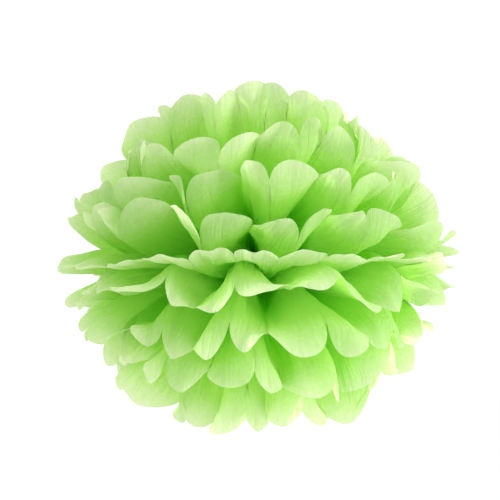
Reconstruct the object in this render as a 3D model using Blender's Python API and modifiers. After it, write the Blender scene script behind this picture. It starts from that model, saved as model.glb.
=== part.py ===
"""Tissue paper pom pom: nine pleated sheets gathered in one wire tie and fluffed into a ball.

Metres, +Z up. The origin is the middle of the tie, where the ball hangs from its wire.
The pleats run along Y through the tie, so every sheet opens as two half fans, one towards
-Y (the front) and one towards +Y (the back). The sheets above the middle one are lifted,
and the ones below it are let down.
"""

import math
import random

import bmesh
import bpy
from mathutils import Vector

# The cut sheet.
SHEET_WIDTH = 0.350  # across the tie, so a petal is half of this long
PLEATS = 13  # panels in one sheet, each of them one petal at either end
PLEAT_WIDTH = 0.0385
PAPER = 0.0003  # modelled thickness
ROUND_CUT = 0.024  # how far the round cut takes the corners of a petal back

# The gathered waist, and the wire round it.
WAIST_LENGTH = 0.006  # stretch along Y that the tie holds flat
WAIST_WIDTH = 0.012
LAYER_GAP = 0.0008  # air between two sheets in the waist
WIRE = 0.0010
WIRE_CLEARANCE = 0.0003
TWIST_LENGTH = 0.012
TWIST_PITCH = 0.004

POINTS_PER_TURN = 6
LOOP_POINTS = 25

# How the fans stand after fluffing.
WIDEST_FAN = math.radians(88)  # half the angle that a fan may open to
STEEP_LOSS = math.radians(25)  # how much less that is at the rim of a fan that stands upright
SPREAD = 0.96  # share of the paper's length that a fan's rim takes up
CURL = 0.6  # how much a petal bends up or down from tie to tip, as a share of its rim height
SIDE_LOSS = 0.15  # share of its reach that the creasing of a steep fan costs its outermost petals
FOLD_RISE = 0.058  # distance from the waist at which the pleats have their full depth
AXIS_SHARE = 0.36  # half the pleat depth allowed, as a share of the distance from the axis
STAGGER = 0.45  # how far the rim of each second sheet is turned against the others, in pleats
AZIMUTH_PLAY = 0.34  # sideways play of a crease at the rim, in pleats
PLAY_GROWTH = 2  # power of the distance from the tie with which stagger and play grow
LIFT_PLAY = math.radians(4)  # up and down play of a crease at the rim
CUP = 0.006  # how far a petal bellies out between its two creases
SEED = 14

# Height of each sheet's rim in degrees above the tie's level, from the lowest sheet up:
# at the back (+Y), on the left (-X), in front (-Y) and on the right (+X).
RIM_HEIGHTS = (
    (-52, -42, -51, -42),
    (-40, -31, -39, -31),
    (-27, -20, -26, -20),
    (-13, -9, -13, -10),
    (0, 0, 1, 0),
    (14, 10, 14, 10),
    (28, 21, 28, 20),
    (42, 34, 42, 31),
    (56, 46, 56, 43),
)

TISSUE_GREEN = (0.32, 0.68, 0.10, 1.0)
WIRE_GREEN = (0.10, 0.28, 0.06, 1.0)

# Worked out from the sizes above.
HALF_WAIST = WAIST_LENGTH / 2
SHEETS = len(RIM_HEIGHTS)
LAYER_STEP = PAPER + LAYER_GAP
BUNDLE_HALF_HEIGHT = LAYER_STEP * SHEETS / 2 + PAPER

# Lines across a petal where the mesh has its rows, as shares of the petal's length. The last
# two are the foot and the tip of the round end, and the foot lies a little inside the cut.
# From the first belly row outwards, a petal also has a line down its middle.
FOOT_MARGIN = 0.004
ROUND_END_FOOT = 1 - (ROUND_CUT + FOOT_MARGIN) / (SHEET_WIDTH / 2)
PETAL_ROWS = (0.0, 0.12, 0.36, 0.62, ROUND_END_FOOT, 1.0)
FIRST_BELLY_ROW = 3
TIP_ROW = len(PETAL_ROWS) - 1


def smooth(x):
    """0 below 0, 1 above 1, and a soft step in between."""
    x = min(1.0, max(0.0, x))
    return x * x * (3 - 2 * x)


def mixed(values, place):
    """The value at a fractional place in a list, straight between its neighbours."""
    index = min(int(place), len(values) - 2)
    return values[index] + (values[index + 1] - values[index]) * (place - index)


def zigzag(place):
    """The pleats: 1 at even creases, -1 at odd ones, straight between."""
    return 2 * abs(place % 2 - 1) - 1


class Sheet:
    """One sheet of tissue: where each point of the flat sheet lies in the ball."""

    def __init__(self, number):
        self.heights = [math.radians(h) for h in RIM_HEIGHTS[number]]
        self.level = (number - (SHEETS - 1) / 2) * LAYER_STEP
        self.half_waist = HALF_WAIST + LAYER_STEP * min(number, SHEETS - 1 - number)
        self.petal = SHEET_WIDTH / 2 - self.half_waist
        self.half_waist_width = WAIST_WIDTH / 2 * math.sqrt(
            1 - (self.level / BUNDLE_HALF_HEIGHT) ** 2
        )
        mean_height = sum(self.heights) / 4
        rim = math.cos(mean_height) * self.petal
        widest = WIDEST_FAN - STEEP_LOSS * math.sin(mean_height) ** 2
        self.half_fan = min(widest, SPREAD * PLEATS * PLEAT_WIDTH / (2 * rim))
        self.stagger = STAGGER if number % 2 else 0
        chance = random.Random(SEED + number)
        self.play = {
            side: [
                (chance.uniform(-1, 1), chance.uniform(-1, 1)) for _ in range(PLEATS + 1)
            ]
            for side in (-1, 1)
        }
        self.cups = {
            side: [chance.uniform(-1, 1) for _ in range(PLEATS)] for side in (-1, 1)
        }

    def rim_height(self, azimuth, side):
        back, left, front, right = self.heights
        along, across = math.cos(azimuth), math.sin(azimuth)
        pole = front if side > 0 else back
        flank = right if across > 0 else left
        return pole * along**2 + flank * across**2

    def point(self, place, reach, side):
        """place counts pleats from the left edge, reach is the distance out along the petal,
        and side is 1 for the fan in front or -1 for the one at the back."""
        share = reach / self.petal
        across = 2 * place / PLEATS - 1
        turn, lift = (mixed(p, place) for p in zip(*self.play[side], strict=True))
        half_fan = WIDEST_FAN + (self.half_fan - WIDEST_FAN) * share**2
        pleat_angle = 2 * half_fan / PLEATS
        shift = AZIMUTH_PLAY * turn + self.stagger * (1 - across**2)
        azimuth = across * half_fan + shift * pleat_angle * share**PLAY_GROWTH
        azimuth = min(WIDEST_FAN, max(-WIDEST_FAN, azimuth))
        height = self.rim_height(azimuth, side)
        bend = CURL * height
        heading = height - bend / 2 + bend * share
        bearing = height - bend * (1 - share) / 2 + LIFT_PLAY * lift * share**PLAY_GROWTH
        half_turn = bend * share / 2
        chord = reach * (math.sin(half_turn) / half_turn if abs(half_turn) > 1e-6 else 1)
        chord *= 1 - SIDE_LOSS * share * (across * math.sin(2 * height)) ** 2
        out = chord * math.cos(bearing)
        up = chord * math.sin(bearing)
        pitch = out * pleat_angle + 2 * self.half_waist_width / PLEATS
        depth = math.sqrt(max(PLEAT_WIDTH**2 - pitch**2, 0.0))
        depth = min(depth / 2, AXIS_SHARE * out) * smooth(reach / FOLD_RISE)
        cup = self.cups[side][min(int(place), PLEATS - 1)]
        belly = CUP * cup * share**3 * math.sin(math.pi * (place % 1))
        offset = depth * zigzag(place) + belly
        out -= offset * math.sin(heading)
        up += offset * math.cos(heading)
        return Vector(
            (
                across * self.half_waist_width + out * math.sin(azimuth),
                -side * (self.half_waist + out * math.cos(azimuth)),
                self.level + up,
            )
        )


def round_end(place):
    """Place and setback of a point on a petal's round end, from its place on the straight cut."""
    pleat = min(int(place), PLEATS - 1)
    angle = math.pi * (place - pleat)
    return pleat + (1 - math.cos(angle)) / 2, ROUND_CUT * (1 - math.sin(angle))


def split_rows(mesh, first_row):
    """Halves every edge that runs across the sheet, from a row outwards to the tips."""
    edges = []
    for edge in mesh.edges:
        start, end = (abs(vertex.co.x) for vertex in edge.verts)
        if abs(start - end) < 0.1 and min(start, end) > first_row:
            edges.append(edge)
    bmesh.ops.subdivide_edges(mesh, edges=edges, cuts=1, use_grid_fill=True)


def fan_out(mesh):
    """Cuts each face with five corners into three triangles, which meet at the middle of the
    edge that was halved, so that every panel bends in the same way."""
    for face in [face for face in mesh.faces if len(face.verts) == 5]:
        corners = sorted(face.verts, key=lambda vertex: abs(vertex.co.x))
        middle = sorted(corners[2:], key=lambda vertex: vertex.co.y)[1]
        bmesh.ops.connect_verts(mesh, verts=[middle, *corners[:2]])


def flat_sheet():
    """A bmesh of the flat sheet. A vertex has its row in x, counted from the middle of the waist
    so that row 0 is at 0.5 and -0.5, and its place in pleats in y."""
    mesh = bmesh.new()
    rows = 2 * TIP_ROW + 1
    bmesh.ops.create_grid(mesh, x_segments=rows, y_segments=PLEATS, size=1)
    for vertex in mesh.verts:
        vertex.co.x *= rows / 2
        vertex.co.y = (vertex.co.y + 1) / 2 * PLEATS
    split_rows(mesh, FIRST_BELLY_ROW)
    split_rows(mesh, TIP_ROW)
    fan_out(mesh)
    return mesh


def folded(mesh, sheet):
    """Folds, gathers and fluffs the flat sheet in place."""
    for vertex in mesh.verts:
        line, place = vertex.co.x, vertex.co.y
        side = 1 if line > 0 else -1
        row = round(abs(line) - 0.5)
        reach = PETAL_ROWS[row] * sheet.petal
        if row == TIP_ROW:
            place, setback = round_end(place)
            reach -= setback
        vertex.co = sheet.point(place, reach, side)


def material(name, colour, roughness):
    made = bpy.data.materials.new(name)
    made.use_nodes = True
    shader = made.node_tree.nodes["Principled BSDF"]
    shader.inputs["Base Color"].default_value = colour
    shader.inputs["Roughness"].default_value = roughness
    made.diffuse_color = colour
    return made


def add_sheet(number, paper, home):
    mesh = flat_sheet()
    folded(mesh, Sheet(number))
    bmesh.ops.recalc_face_normals(mesh, faces=mesh.faces)
    data = bpy.data.meshes.new(f"sheet_{number + 1}")
    mesh.to_mesh(data)
    mesh.free()
    data.materials.append(paper)
    sheet = bpy.data.objects.new(f"sheet_{number + 1}", data)
    home.objects.link(sheet)
    wall = sheet.modifiers.new("paper", "SOLIDIFY")
    wall.thickness = PAPER
    wall.offset = 0
    wall.use_even_offset = True
    return sheet


def tie_route():
    """Points of the wire: down one strand of the twist, round the waist, up the other."""
    strand = (WIRE + WIRE_CLEARANCE) / 2
    half_width = WAIST_WIDTH / 2 + WIRE_CLEARANCE + WIRE / 2
    half_height = BUNDLE_HALF_HEIGHT + WIRE_CLEARANCE + WIRE / 2
    foot = half_height + WIRE
    turns = TWIST_LENGTH / TWIST_PITCH
    steps = round(turns * POINTS_PER_TURN)
    twist = []
    for step in range(steps + 1):
        angle = 2 * math.pi * turns * step / steps
        height = foot + TWIST_LENGTH * step / steps
        twist.append(Vector((strand * math.cos(angle), strand * math.sin(angle), height)))
    opening = math.asin(strand / half_width)
    loop = []
    for step in range(LOOP_POINTS):
        angle = opening + (2 * math.pi - 2 * opening) * step / (LOOP_POINTS - 1)
        loop.append(
            Vector((half_width * math.sin(angle), 0, half_height * math.cos(angle)))
        )
    other = [Vector((-p.x, -p.y, p.z)) for p in twist]
    return twist[::-1] + loop + other


def add_tie(metal, home):
    curve = bpy.data.curves.new("wire_tie", "CURVE")
    curve.dimensions = "3D"
    curve.bevel_depth = WIRE / 2
    curve.bevel_resolution = 1
    curve.use_fill_caps = True
    spline = curve.splines.new("POLY")
    route = tie_route()
    spline.points.add(len(route) - 1)
    for point, place in zip(spline.points, route, strict=True):
        point.co = (*place, 1)
    curve.materials.append(metal)
    tie = bpy.data.objects.new("wire_tie", curve)
    home.objects.link(tie)
    return tie


def main():
    for leftover in list(bpy.data.objects):
        bpy.data.objects.remove(leftover)
    home = bpy.data.collections.new("tissue_pom_pom")
    bpy.context.scene.collection.children.link(home)
    paper = material("tissue_paper", TISSUE_GREEN, 0.85)
    metal = material("tie_wire", WIRE_GREEN, 0.5)
    for number in range(SHEETS):
        add_sheet(number, paper, home)
    add_tie(metal, home)


main()
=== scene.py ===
import math
import random

import bpy
import numpy as np
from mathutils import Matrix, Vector


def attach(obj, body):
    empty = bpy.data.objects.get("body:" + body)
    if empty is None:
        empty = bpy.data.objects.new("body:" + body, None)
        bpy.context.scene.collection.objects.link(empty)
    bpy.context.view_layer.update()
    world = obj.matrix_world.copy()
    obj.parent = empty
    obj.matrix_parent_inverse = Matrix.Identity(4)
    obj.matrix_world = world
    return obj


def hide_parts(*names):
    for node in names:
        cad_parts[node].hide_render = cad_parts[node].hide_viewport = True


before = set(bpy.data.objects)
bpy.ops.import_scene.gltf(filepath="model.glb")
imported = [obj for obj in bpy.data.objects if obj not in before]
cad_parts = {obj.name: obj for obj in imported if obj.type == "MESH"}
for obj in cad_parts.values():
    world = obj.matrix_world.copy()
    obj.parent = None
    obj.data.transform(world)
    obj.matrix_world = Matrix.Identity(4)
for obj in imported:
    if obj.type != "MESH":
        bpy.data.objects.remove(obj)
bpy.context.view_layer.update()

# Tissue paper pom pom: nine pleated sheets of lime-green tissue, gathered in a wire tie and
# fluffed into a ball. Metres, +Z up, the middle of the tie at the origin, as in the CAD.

# The cut sheet, its folds and its tie, the same sizes as the CAD's.
SHEET_WIDTH = 0.350
PLEATS = 13
PLEAT_WIDTH = 0.0385
SHEET_LENGTH = PLEATS * PLEAT_WIDTH
PAPER = 0.0003  # thickness there; here it only spaces the layers
WAIST_LENGTH = 0.006  # along the pleats, of the shortest stretch that is pressed together
WAIST_WIDTH = 0.012  # across the pleats
LAYER_GAP = 0.0008  # between two sheets in the waist
WIRE = 0.0010  # diameter
WIRE_CLEARANCE = 0.0003  # to the paper, and between the two strands of the twist
TWIST_LENGTH = 0.012
TWIST_PITCH = 0.004

# How the fans stand, as in the CAD.
WIDEST_FAN = math.radians(88)  # furthest that a fan opens to either side
STEEP_LOSS = math.radians(25)  # how much less that is for a fan that stands upright
SPREAD = 0.96  # length of the opened rim, as a share of the sheet's
SIDE_LOSS = 0.15  # share of its reach that creasing costs an outermost petal of a steep fan
FOLD_RISE = 0.058  # distance from the tie over which the pleats reach their full depth
AXIS_SHARE = 0.36  # greatest half depth of a pleat, as a share of the distance from the axis
STAGGER = 0.45  # how far the rim of each second sheet is turned, in pleats
PLAY_GROWTH = 2.0  # power of the distance from the tie with which stagger and play grow
CUP = 0.006  # how far a petal bellies up or down between its creases
SEED = 14  # of the play that the CAD shows too

# How they stand in finer detail than in the CAD. The rims' heights are in degrees, at the back,
# on the left, in front and on the right, from the lowest sheet up.
RIM_HEIGHTS = (
    (-52, -42, -51, -42),
    (-40, -31, -39, -31),
    (-27, -21, -27, -20),
    (-13, -13, -16, -10),
    (0, -2, 4, 0),
    (14, 14, 19, 10),
    (28, 21, 31, 20),
    (42, 34, 42, 31),
    (56, 46, 56, 43),
)
AZIMUTH_PLAY = 0.42  # sideways play of a crease at the rim, in pleats
LIFT_PLAY = math.radians(5.5)  # up and down play of a crease at the rim
LEAN = math.radians(17)  # how far the two fans of a sheet turn about the tie at their sides
LEAN_START = 0.5  # where that begins, as a share of the half fan
FRONT_SPREAD = 0.06  # how much wider than the mean the pleats in the middle of the front stand
UPTURN = math.radians(62)  # how far the end of a petal turns away from the level of the tie
UPTURN_POWER = 5  # power of the distance from the tie with which it turns
UPTURN_SIDE_LOSS = 0.7  # share of that turn which the petals at the sides of a fan lack
LEVEL_ANGLE = math.radians(8)  # a sheet lower than this stays nearly level to its rim
MIDDLE_SHEET = 4  # seen edge on in front, as a calm ribbon
MIDDLE_EASE = 0.95  # share of its pleats' depth that the middle sheet has lost in front
MIDDLE_CALM = 0.2  # share of the others' play that it keeps there
MIDDLE_CUT = 0.5  # share of their round cut that it has there
LEFT_CALM = 0.6  # share of the play that the petals at the far left lack
LEFT_START = 0.55  # where that begins, as a share of the half fan

# The petals' round ends. A pair gives the least and the most.
ROUND_CUT = 0.027  # how far the round cut takes the corners of a petal back
CUT_PLAY = (0.75, 1.15)  # share of that in a single petal
ROUNDNESS = (1.6, 2.2)  # power of the end's curve, where 2 is an ellipse
SKEW = 0.55  # how far the middle of an end may lie off the petal's own, as a power of two
FACE = (0.5, 0.97)  # how far an end has turned out of its pleat to lie flat
TIP_LIFT = 0.010  # how far an end is bent up or down by itself
TIP_CURL = 0.012  # how far a crease is bent up or down at its outer end
TIP_CURL_START = 0.55  # where that begins, as a share of the petal's length
FLUTTER = 0.0016  # height of the waves along an end's edge
FLUTTER_START = 0.7  # where they begin, as a share of the petal's length
FLUTTER_WAVES = 1.5  # in the width of one petal

# What handling has left in the paper. A layer has its spacing across and along the petals, and
# its share of the height.
STREAK = 0.0026  # height of the long wrinkles that run out from the tie
STREAK_LAYERS = ((0.0055, 0.060, 1.0), (0.0032, 0.035, 0.6))
STREAK_END = 1.15  # where they would die out, as a share of the petal's length
CRUMPLE = 0.0028  # height of the dents left by fingers, which grow towards the tips
CRUMPLE_LAYERS = ((0.022, 0.030, 1.0), (0.010, 0.014, 0.5))
HANDLED_FROM = 0.25  # share of a petal's length over which both fade in

# How finely a sheet and the wire are modelled.
COLUMNS = 18  # lines across one petal
ROWS = 40  # lines along one petal
CREASE_SOFTNESS = 0.96  # 1 is a knife-sharp crease
CURVE_STEPS = 8  # places along a petal at which its rise is summed up
POINTS_PER_TURN = 16  # of the wire's twist
LOOP_POINTS = 61  # of its loop round the waist
ON_CREASE = 1e-5  # rounding error of a corner that lies on a crease, in pleats

LOOK_SEED = 300  # of the play, wrinkles and dents that only the scene shows
SEEDS_PER_SHEET = 20  # how far apart the seeds of two sheets' wrinkles and dents lie

# Colours of the paper along a petal, from the tie to the tip: the dye's lime green with painted
# light in it, a richer green near the tie for the light passed through many layers of paper and a
# pale painted highlight at the tips. The place of each is a share of the sheet's width, and the
# mottling moves it by up to the share given there.
DYE_AND_PAINTED_LIGHT_COLOURS = ((0.26, "bff666"), (0.46, "b7e56e"), (0.58, "e6eccc"))
MOTTLING = 0.12
FIBRE_MM = 3.0  # real clouds of fibre are about 1 mm wide, too fine to show from here
FIBRE_RELIEF = 0.0004
WRINKLE_MM = (3.5, 45.0)  # spacing of the fine wrinkles across and along a petal
WRINKLE_RELIEF = 0.0020
THROUGH = 0.72  # share of its light that the paper gives by letting it through
WINDING_SCALE = 900.0  # the sleeve's turns lie 2 pi / (10 * 900) = 0.7 mm apart
WINDING_RELIEF = 0.0001

FLOOR_SIZE = 24
FLOOR_LEVEL = -1.1
CAMERA_PLACE = Vector((0.0, -1.45, 0.0))
CAMERA_AIM = Vector((-0.006, 0.0, 0.012))
CAMERA_LENS = 121  # mm
WORLD_STRENGTH = 1.04
LIGHTS = (  # name, place, size in metres, power in watts
    ("key", (1.8, -0.5, 0.1), 1.0, 42),
    ("fill", (-1.2, -1.2, 0.2), 1.4, 8),
)

SHEETS = len(RIM_HEIGHTS)
LAYER_STEP = PAPER + LAYER_GAP
BUNDLE_HALF_HEIGHT = LAYER_STEP * SHEETS / 2 + PAPER
BOTH_WAYS = (-1, 1)  # the fan at the back and the fan in front
CREASES = np.arange(PLEATS + 1)


def linear(code):
    """An sRGB hex colour as linear red, green, blue and alpha."""
    parts = [int(code[i : i + 2], 16) / 255 for i in (0, 2, 4)]
    return (*[p / 12.92 if p <= 0.04045 else ((p + 0.055) / 1.055) ** 2.4 for p in parts], 1.0)


def smooth(x):
    """0 below 0, 1 above 1, and a soft step in between."""
    x = np.clip(x, 0.0, 1.0)
    return x * x * (3 - 2 * x)


def cloud(u, v, seed):
    """Smooth noise from -1 to 1 over a plane, one bump to a unit."""
    chance = np.random.default_rng(seed)
    u = u - np.floor(u.min())
    v = v - np.floor(v.min())
    grid = chance.uniform(-1, 1, (int(u.max()) + 2, int(v.max()) + 2))
    i, j = u.astype(int), v.astype(int)
    a, b = smooth(u - i), smooth(v - j)
    low = grid[i, j] * (1 - a) + grid[i + 1, j] * a
    high = grid[i, j + 1] * (1 - a) + grid[i + 1, j + 1] * a
    return low * (1 - b) + high * b


def pleat_at(place):
    """Number of the pleat, from 0, in which a place lies."""
    return np.minimum(place.astype(int), PLEATS - 1)


def across_fan(place):
    """-1 at the left edge of a sheet, 1 at the right one."""
    return 2 * place / PLEATS - 1


def creases(place):
    """The pleats: 1 at even creases, -1 at odd ones, nearly straight between."""
    return np.arcsin(CREASE_SOFTNESS * np.cos(np.pi * place)) / math.asin(CREASE_SOFTNESS)


class Sheet:
    """One sheet of tissue: where each point of the flat sheet lies in the ball. A point has its
    place, counted in pleats from the left edge, and its reach, the distance out along a petal."""

    def __init__(self, number):
        self.number = number
        self.heights = [math.radians(h) for h in RIM_HEIGHTS[number]]
        self.level = (number - (SHEETS - 1) / 2) * LAYER_STEP
        self.half_waist = WAIST_LENGTH / 2 + LAYER_STEP * min(number, SHEETS - 1 - number)
        self.petal = SHEET_WIDTH / 2 - self.half_waist
        self.half_waist_width = WAIST_WIDTH / 2 * math.sqrt(
            1 - (self.level / BUNDLE_HALF_HEIGHT) ** 2
        )
        mean_height = sum(self.heights) / 4
        rim = math.cos(mean_height) * self.petal
        widest = WIDEST_FAN - STEEP_LOSS * math.sin(mean_height) ** 2
        self.half_fan = min(widest, SPREAD * SHEET_LENGTH / (2 * rim))
        self.stagger = STAGGER if number % 2 else 0
        self.lean = LEAN if number % 2 else -LEAN

        # The same play of each crease as in the CAD, sideways and up and down.
        chance = random.Random(SEED + number)
        self.play = {
            side: np.array(
                [(chance.uniform(-1, 1), chance.uniform(-1, 1)) for _ in range(PLEATS + 1)]
            )
            for side in BOTH_WAYS
        }
        self.cups = {
            side: np.array([chance.uniform(-1, 1) for _ in range(PLEATS)]) for side in BOTH_WAYS
        }

        # What only the scene shows.
        look = np.random.default_rng(LOOK_SEED + number)
        self.skew = {side: look.uniform(-SKEW, SKEW, PLEATS) for side in BOTH_WAYS}
        self.power = {side: look.uniform(*ROUNDNESS, PLEATS) for side in BOTH_WAYS}
        self.cut = {side: look.uniform(*CUT_PLAY, PLEATS) for side in BOTH_WAYS}
        self.curl = {side: look.uniform(-1, 1, PLEATS + 1) for side in BOTH_WAYS}
        self.tip = {side: look.uniform(-1, 1, PLEATS) for side in BOTH_WAYS}
        self.phase = {side: look.uniform(0, 2 * np.pi, PLEATS) for side in BOTH_WAYS}
        self.face = {side: look.uniform(*FACE, PLEATS) for side in BOTH_WAYS}

    def is_ribbon(self, side):
        """Whether this fan is the middle one in front, which is seen edge on as a calm ribbon."""
        return self.number == MIDDLE_SHEET and side > 0

    def setback(self, place, side):
        """How far the round cut takes a petal's end back from the straight edge."""
        pleat = pleat_at(place)
        share = np.clip(place - pleat, 0.0, 1.0) ** (2 ** self.skew[side][pleat])
        power = self.power[side][pleat]
        bow = (1 - np.abs(2 * share - 1) ** power) ** (1 / power)
        depth = ROUND_CUT * self.cut[side][pleat]
        if self.is_ribbon(side):
            depth *= MIDDLE_CUT
        return depth * (1 - bow)

    def rim_height(self, azimuth, side):
        """Height of the rim as an angle, from its heights at the four poles."""
        back, left, front, right = self.heights
        along, across = np.cos(azimuth), np.sin(azimuth)
        pole = front if side > 0 else back
        flank = np.where(across > 0, right, left)
        return pole * along**2 + flank * across**2

    def fanned(self, place, share, side, calm):
        """Azimuth of each point, and the angle that one pleat takes up there."""
        across = across_fan(place)
        half_fan = WIDEST_FAN + (self.half_fan - WIDEST_FAN) * share**2
        pleat_angle = 2 * half_fan / PLEATS
        turn = np.interp(place, CREASES, self.play[side][:, 0])
        shift = AZIMUTH_PLAY * calm * turn + self.stagger * (1 - across**2)
        spread = FRONT_SPREAD * share if side > 0 else 0.0
        azimuth = across * (1 + spread * (1 - across**2)) * half_fan
        azimuth += shift * pleat_angle * share**PLAY_GROWTH
        azimuth = np.clip(azimuth, -WIDEST_FAN, WIDEST_FAN)
        leaning = smooth((np.abs(across) - LEAN_START) / (1 - LEAN_START))
        azimuth += self.lean * side * leaning * share**2
        opening = 1 + spread * (1 - 3 * across**2)
        return azimuth, pleat_angle * opening

    def climbed(self, height, place, reach, side, calm):
        """Distance out, height and steepness of each point along its petal, which runs straight
        at first and turns up or down near its end."""
        share = reach / self.petal
        across = across_fan(place)
        upturn = UPTURN * np.tanh(height / LEVEL_ANGLE) * np.cos(height)
        upturn *= 1 - UPTURN_SIDE_LOSS * across**2
        start = height - upturn / UPTURN_POWER  # so that the rim still ends at about its height
        lift = np.interp(place, CREASES, self.play[side][:, 1])
        lift *= LIFT_PLAY * calm * share**PLAY_GROWTH
        used = reach * (1 - SIDE_LOSS * share * (across * np.sin(2 * height)) ** 2)
        out = np.zeros_like(reach)
        up = np.zeros_like(reach)
        for step, weight in zip(*np.polynomial.legendre.leggauss(CURVE_STEPS), strict=True):
            heading = start + upturn * (share * (step + 1) / 2) ** UPTURN_POWER + lift
            out += used * weight / 2 * np.cos(heading)
            up += used * weight / 2 * np.sin(heading)
        return out, up, start + upturn * share**UPTURN_POWER

    def fold_depth(self, place, reach, out, pitch, side):
        """Half the depth of the pleats, from the width of paper that their pitch leaves over."""
        depth = np.sqrt(np.maximum(PLEAT_WIDTH**2 - pitch**2, 0)) / 2
        depth = np.minimum(depth, AXIS_SHARE * out) * smooth(reach / FOLD_RISE)
        if self.is_ribbon(side):
            share = reach / self.petal
            depth *= 1 - MIDDLE_EASE * share * (1 - across_fan(place) ** 4)
        return depth

    def fluffed(self, place, share, free, side, calm):
        """How far the bellies, curled creases, bent ends and waved edges lie off the fold."""
        pleat = pleat_at(place)
        bow = np.sin(np.pi * (place % 1))
        curl = np.interp(place, CREASES, self.curl[side])
        curled = smooth((share - TIP_CURL_START) / (1 - TIP_CURL_START)) ** 2
        wave = np.sin(2 * np.pi * FLUTTER_WAVES * (place % 1) + self.phase[side][pleat])
        waved = smooth((share - FLUTTER_START) / (1 - FLUTTER_START))
        play = CUP * self.cups[side][pleat] * share**3 * bow
        play += TIP_CURL * curl * curled
        play += TIP_LIFT * self.tip[side][pleat] * free
        return calm * play + FLUTTER * wave * bow * waved

    def points(self, place, reach, side):
        """Places in the ball for arrays of places and reaches."""
        share = reach / self.petal
        pleat = pleat_at(place)
        across = across_fan(place)
        calm = MIDDLE_CALM if self.is_ribbon(side) else 1.0
        calm = calm * (1 - LEFT_CALM * smooth((-across - LEFT_START) / (1 - LEFT_START)))
        azimuth, pleat_angle = self.fanned(place, share, side, calm)
        height = self.rim_height(azimuth, side)
        out, up, heading = self.climbed(height, place, reach, side, calm)
        pitch = out * pleat_angle + 2 * self.half_waist_width / PLEATS
        depth = self.fold_depth(place, reach, out, pitch, side)

        # Past the foot of its round end, a petal is free to turn out of its pleat.
        foot = 1 - ROUND_CUT * self.cut[side][pleat] / self.petal
        free = smooth((share - foot) / (1 - foot)) * (1 - across**4)
        width = np.hypot(2 * depth, pitch)
        tilt = np.arctan2(2 * depth, pitch) * (1 - self.face[side][pleat] * free)
        widened = width * np.cos(tilt) - pitch
        azimuth += (place - pleat - 0.5) * widened / np.maximum(out, WAIST_WIDTH)
        offset = width * np.sin(tilt) / 2 * creases(place)
        offset += self.fluffed(place, share, free, side, calm)
        out = out - offset * np.sin(heading)
        up = up + offset * np.cos(heading)
        x = across * self.half_waist_width + out * np.sin(azimuth)
        y = -side * (self.half_waist + out * np.cos(azimuth))
        return np.stack((x, y, self.level + up), axis=1)


def layered(layers, flat_x, flat_y, seed):
    """Several sizes of cloud, one on top of the other."""
    heights = np.zeros_like(flat_x)
    for number, (across, along, share) in enumerate(layers):
        heights += share * cloud(flat_x / across, flat_y / along, seed + number)
    return heights


def handling(sheet, flat_x, flat_y):
    """Height of the wrinkles and dents at each point of the flat sheet, along its normal."""
    share = np.clip(np.abs(flat_y) / (SHEET_WIDTH / 2), 0, 1)
    seed = LOOK_SEED + SEEDS_PER_SHEET * sheet.number + 1
    streaks = layered(STREAK_LAYERS, flat_x, flat_y, seed)
    dents = layered(CRUMPLE_LAYERS, flat_x, flat_y, seed + len(STREAK_LAYERS))
    heights = STREAK * (STREAK_END - share) * streaks + CRUMPLE * share * dents
    return heights * smooth(share / HANDLED_FROM)


def add_sheet(number, paper):
    """Cuts one flat sheet, folds and fluffs it, and wrinkles it."""
    sheet = Sheet(number)
    bpy.ops.object.select_all(action="DESELECT")
    bpy.ops.mesh.primitive_grid_add(
        x_subdivisions=PLEATS * COLUMNS, y_subdivisions=2 * ROWS + 1, size=1
    )
    piece = bpy.context.object
    piece.name = f"tissue_sheet_{number + 1}"
    mesh = piece.data
    mesh.name = piece.name
    corners = np.empty(len(mesh.vertices) * 3)
    mesh.vertices.foreach_get("co", corners)
    place, side, step = grid_places(corners.reshape(-1, 3))
    folded = np.empty((len(place), 3))
    flat_y = np.empty(len(place))
    for way in BOTH_WAYS:
        mine = side == way
        reach = step[mine] * (sheet.petal - sheet.setback(place[mine], way))
        folded[mine] = sheet.points(place[mine], reach, way)
        flat_y[mine] = way * (reach + sheet.half_waist)
    flat_x = (place / PLEATS - 0.5) * SHEET_LENGTH
    mesh.vertices.foreach_set("co", folded.ravel())
    mesh.update()
    normals = np.empty(len(place) * 3)
    mesh.vertex_normals.foreach_get("vector", normals)
    folded += normals.reshape(-1, 3) * handling(sheet, flat_x, flat_y)[:, None]
    mesh.vertices.foreach_set("co", folded.ravel())
    flat_map(mesh, flat_x, flat_y)
    mesh.shade_smooth()
    mesh.update()
    mesh.materials.append(paper)
    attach(piece, "root")
    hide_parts(f"sheet_{number + 1}")


def grid_places(corners):
    """Place, side of the tie and step out from it (0 to 1) of each corner of a square grid. The
    columns stand closer together towards the creases."""
    column = (corners[:, 0] + 0.5) * PLEATS
    pleat = np.minimum(np.floor(column + ON_CREASE), PLEATS - 1)
    place = pleat + (1 - np.cos(np.pi * np.clip(column - pleat, 0, 1))) / 2
    row = corners[:, 1] * (2 * ROWS + 1)
    side = np.where(row > 0, 1, -1)
    return place, side, np.clip((np.abs(row) - 0.5) / ROWS, 0, 1)


def flat_map(mesh, flat_x, flat_y):
    """Lays the UV map out as the flat sheet, which fills it."""
    index = np.empty(len(mesh.loops), dtype=np.int32)
    mesh.loops.foreach_get("vertex_index", index)
    flat = np.stack((flat_x / SHEET_LENGTH + 0.5, flat_y / SHEET_WIDTH + 0.5), axis=1)
    mesh.uv_layers[0].uv.foreach_set("vector", flat[index].ravel())


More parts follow.
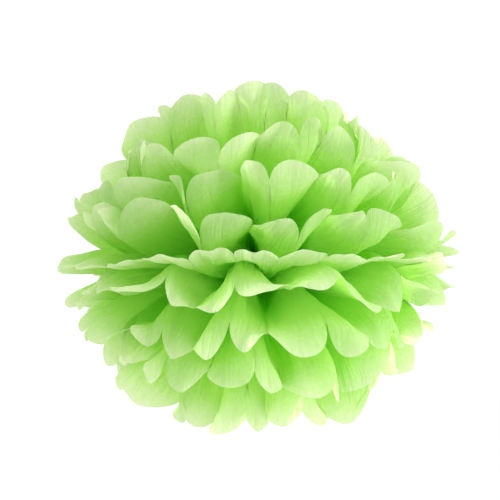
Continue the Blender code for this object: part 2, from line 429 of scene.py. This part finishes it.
def tie_route():
    """Points of the wire: down one strand of the twist, round the waist, up the other."""
    strand = (WIRE + WIRE_CLEARANCE) / 2
    half_width = WAIST_WIDTH / 2 + WIRE_CLEARANCE + WIRE / 2
    half_height = BUNDLE_HALF_HEIGHT + WIRE_CLEARANCE + WIRE / 2
    turns = TWIST_LENGTH / TWIST_PITCH
    rise = np.linspace(0, 1, round(turns * POINTS_PER_TURN) + 1)
    angle = 2 * np.pi * turns * rise
    height = half_height + WIRE + TWIST_LENGTH * rise
    twist = np.stack((strand * np.cos(angle), strand * np.sin(angle), height), axis=1)
    opening = math.asin(strand / half_width)
    angle = np.linspace(opening, 2 * np.pi - opening, LOOP_POINTS)
    across, up = half_width * np.sin(angle), half_height * np.cos(angle)
    loop = np.stack((across, np.zeros(LOOP_POINTS), up), axis=1)
    return np.concatenate((twist[::-1], loop, twist * (-1, -1, 1)))


def add_tie():
    """The wire: a smooth curve through its route, given a round section and made a mesh."""
    bpy.ops.object.select_all(action="DESELECT")
    route = tie_route()
    bpy.ops.curve.primitive_nurbs_path_add()
    tie = bpy.context.object
    tie.name = "tie_wire"
    curve = tie.data
    curve.splines.clear()
    spline = curve.splines.new("NURBS")
    spline.points.add(len(route) - 1)
    spline.points.foreach_set("co", np.insert(route, 3, 1, axis=1).ravel())
    spline.use_endpoint_u = True
    spline.order_u = 3
    spline.resolution_u = 2
    curve.bevel_depth = WIRE / 2
    curve.bevel_resolution = 3
    curve.use_fill_caps = True
    bpy.ops.object.convert(target="MESH")
    tie.data.materials.clear()
    tie.data.materials.append(green_paper_covered_wire())
    tie.data.shade_smooth()
    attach(tie, "root")
    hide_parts("wire_tie")


def add_material(name):
    """A new material with its node tree, which holds an output and a plain shader."""
    made = bpy.data.materials.new(name)
    made.use_nodes = True
    return made, made.node_tree, made.node_tree.nodes["Principled BSDF"]


def add_node(tree, kind, settings=None, links=None):
    """Adds a shader node, sets its properties and inputs, and links outputs into its inputs."""
    node = tree.nodes.new(kind)
    for key, value in (settings or {}).items():
        if isinstance(key, int) or key in node.inputs:
            node.inputs[key].default_value = value
        else:
            setattr(node, key, value)
    for key, output in (links or {}).items():
        tree.links.new(output, node.inputs[key])
    return node


def add_noise(tree, flat, spacing_mm, detail, roughness):
    """Noise over the flat sheet, its bumps this far apart across and along the petals."""
    across, along = spacing_mm
    scale = (SHEET_LENGTH * 1000 / across, SHEET_WIDTH * 1000 / along, 1.0)
    links = {"Vector": flat.outputs["UV"]}
    place = add_node(tree, "ShaderNodeMapping", {"Scale": scale}, links)
    settings = {"Scale": 1.0, "Detail": detail, "Roughness": roughness}
    links = {"Vector": place.outputs["Vector"]}
    return add_node(tree, "ShaderNodeTexNoise", settings, links).outputs["Fac"]


def add_dye_and_painted_light(tree, flat, fibres):
    """The paper's green along a petal from the tie to the tip, in slightly uneven dye, with
    painted
    light: a richer green near the tie for the light passed through many layers, and a pale
    painted highlight at the tip.
    """
    along = add_node(tree, "ShaderNodeSeparateXYZ", {}, {"Vector": flat.outputs["UV"]})
    links = {0: along.outputs["Y"]}
    off_waist = add_node(tree, "ShaderNodeMath", {"operation": "SUBTRACT", 1: 0.5}, links)
    links = {0: off_waist.outputs[0]}
    reach = add_node(tree, "ShaderNodeMath", {"operation": "ABSOLUTE"}, links)
    settings = {"operation": "MULTIPLY_ADD", 1: MOTTLING}
    links = {0: fibres, 2: reach.outputs[0]}
    mottled = add_node(tree, "ShaderNodeMath", settings, links)
    # The ramp paints light into the colour: a richer green by the tie, a pale highlight at the
    # tips.
    ramp = add_node(tree, "ShaderNodeValToRGB", {}, {"Fac": mottled.outputs[0]})
    stops = ramp.color_ramp.elements
    stops.new(0.5)
    for stop, (place, code) in zip(stops, DYE_AND_PAINTED_LIGHT_COLOURS, strict=True):
        stop.position = place
        stop.color = linear(code)
    return ramp.outputs["Color"]


def tissue_dye_and_painted_light():
    """Tissue paper, dyed in the pulp, unglazed and crumpled by hand. It looks matt and soft and
    glows with the light behind it. Its colour has painted light in it: a richer green towards the
    tie for the light passed through many layers, and a pale painted highlight at the lone tips."""
    made, tree, front = add_material("tissue_dye_and_painted_light")
    flat = add_node(tree, "ShaderNodeUVMap")
    fibres = add_noise(tree, flat, (FIBRE_MM, FIBRE_MM), 4.0, 0.6)
    wrinkles = add_noise(tree, flat, WRINKLE_MM, 3.0, 0.55)
    # The paper's green with painted light: richer by the tie, a pale painted highlight at the
    # tips.
    colour = add_dye_and_painted_light(tree, flat, fibres)
    settings = {"Strength": 0.25, "Distance": FIBRE_RELIEF}
    grain = add_node(tree, "ShaderNodeBump", settings, {"Height": fibres})
    settings = {"Strength": 1.0, "Distance": WRINKLE_RELIEF}
    links = {"Height": wrinkles, "Normal": grain.outputs["Normal"]}
    normal = add_node(tree, "ShaderNodeBump", settings, links).outputs["Normal"]
    front.inputs["Roughness"].default_value = 0.8
    front.inputs["Specular IOR Level"].default_value = 0.2
    tree.links.new(colour, front.inputs["Base Color"])
    tree.links.new(normal, front.inputs["Normal"])
    links = {"Color": colour, "Normal": normal}
    through = add_node(tree, "ShaderNodeBsdfTranslucent", {}, links)
    links = {1: front.outputs["BSDF"], 2: through.outputs["BSDF"]}
    sheet = add_node(tree, "ShaderNodeMixShader", {"Fac": THROUGH}, links)
    tree.links.new(sheet.outputs["Shader"], tree.nodes["Material Output"].inputs["Surface"])
    return made


def green_paper_covered_wire():
    """Florist's wire in a matt green paper sleeve: dull, with faint turns of the wound paper."""
    made, tree, shader = add_material("green_paper_covered_wire")
    shader.inputs["Base Color"].default_value = linear("5a8a3c")
    shader.inputs["Roughness"].default_value = 0.75
    place = add_node(tree, "ShaderNodeTexCoord")
    settings = {"bands_direction": "DIAGONAL", "Scale": WINDING_SCALE, "Distortion": 1.0}
    links = {"Vector": place.outputs["Object"]}
    winding = add_node(tree, "ShaderNodeTexWave", settings, links)
    settings = {"Strength": 0.4, "Distance": WINDING_RELIEF}
    ridges = add_node(tree, "ShaderNodeBump", settings, {"Height": winding.outputs["Fac"]})
    tree.links.new(ridges.outputs["Normal"], shader.inputs["Normal"])
    return made


def matt_white():
    """White studio paper: dull and even, so that it only gives light back."""
    made, _, shader = add_material("matt_white")
    shader.inputs["Base Color"].default_value = linear("fdfdfc")
    shader.inputs["Roughness"].default_value = 0.9
    return made


def add_floor():
    bpy.ops.object.select_all(action="DESELECT")
    bpy.ops.mesh.primitive_plane_add(size=FLOOR_SIZE, location=(0, 0, FLOOR_LEVEL))
    floor = bpy.context.object
    floor.name = "floor"
    floor.data.materials.append(matt_white())


def add_light(name, place, size, power):
    """A square soft light at a place, turned towards the ball."""
    data = bpy.data.lights.new(name, "AREA")
    data.size = size
    data.energy = power
    light = bpy.data.objects.new(name, data)
    light.location = place
    light.rotation_euler = (-Vector(place)).to_track_quat("-Z", "Y").to_euler()
    bpy.context.scene.collection.objects.link(light)


def add_world():
    """Even white light from all sides."""
    world = bpy.data.worlds.new("studio_white")
    world.use_nodes = True
    background = world.node_tree.nodes["Background"]
    background.inputs["Color"].default_value = linear("ffffff")
    background.inputs["Strength"].default_value = WORLD_STRENGTH
    bpy.context.scene.world = world


def add_camera():
    data = bpy.data.cameras.new("camera")
    data.lens = CAMERA_LENS
    camera = bpy.data.objects.new("camera", data)
    camera.location = CAMERA_PLACE
    camera.rotation_euler = (CAMERA_AIM - CAMERA_PLACE).to_track_quat("-Z", "Y").to_euler()
    bpy.context.scene.collection.objects.link(camera)
    bpy.context.scene.camera = camera


def main():
    bpy.context.scene.view_settings.view_transform = "Standard"
    add_camera()
    add_floor()
    add_world()
    for name, place, size, power in LIGHTS:
        add_light(name, place, size, power)
    paper = tissue_dye_and_painted_light()
    for number in range(SHEETS):
        add_sheet(number, paper)
    add_tie()


main()
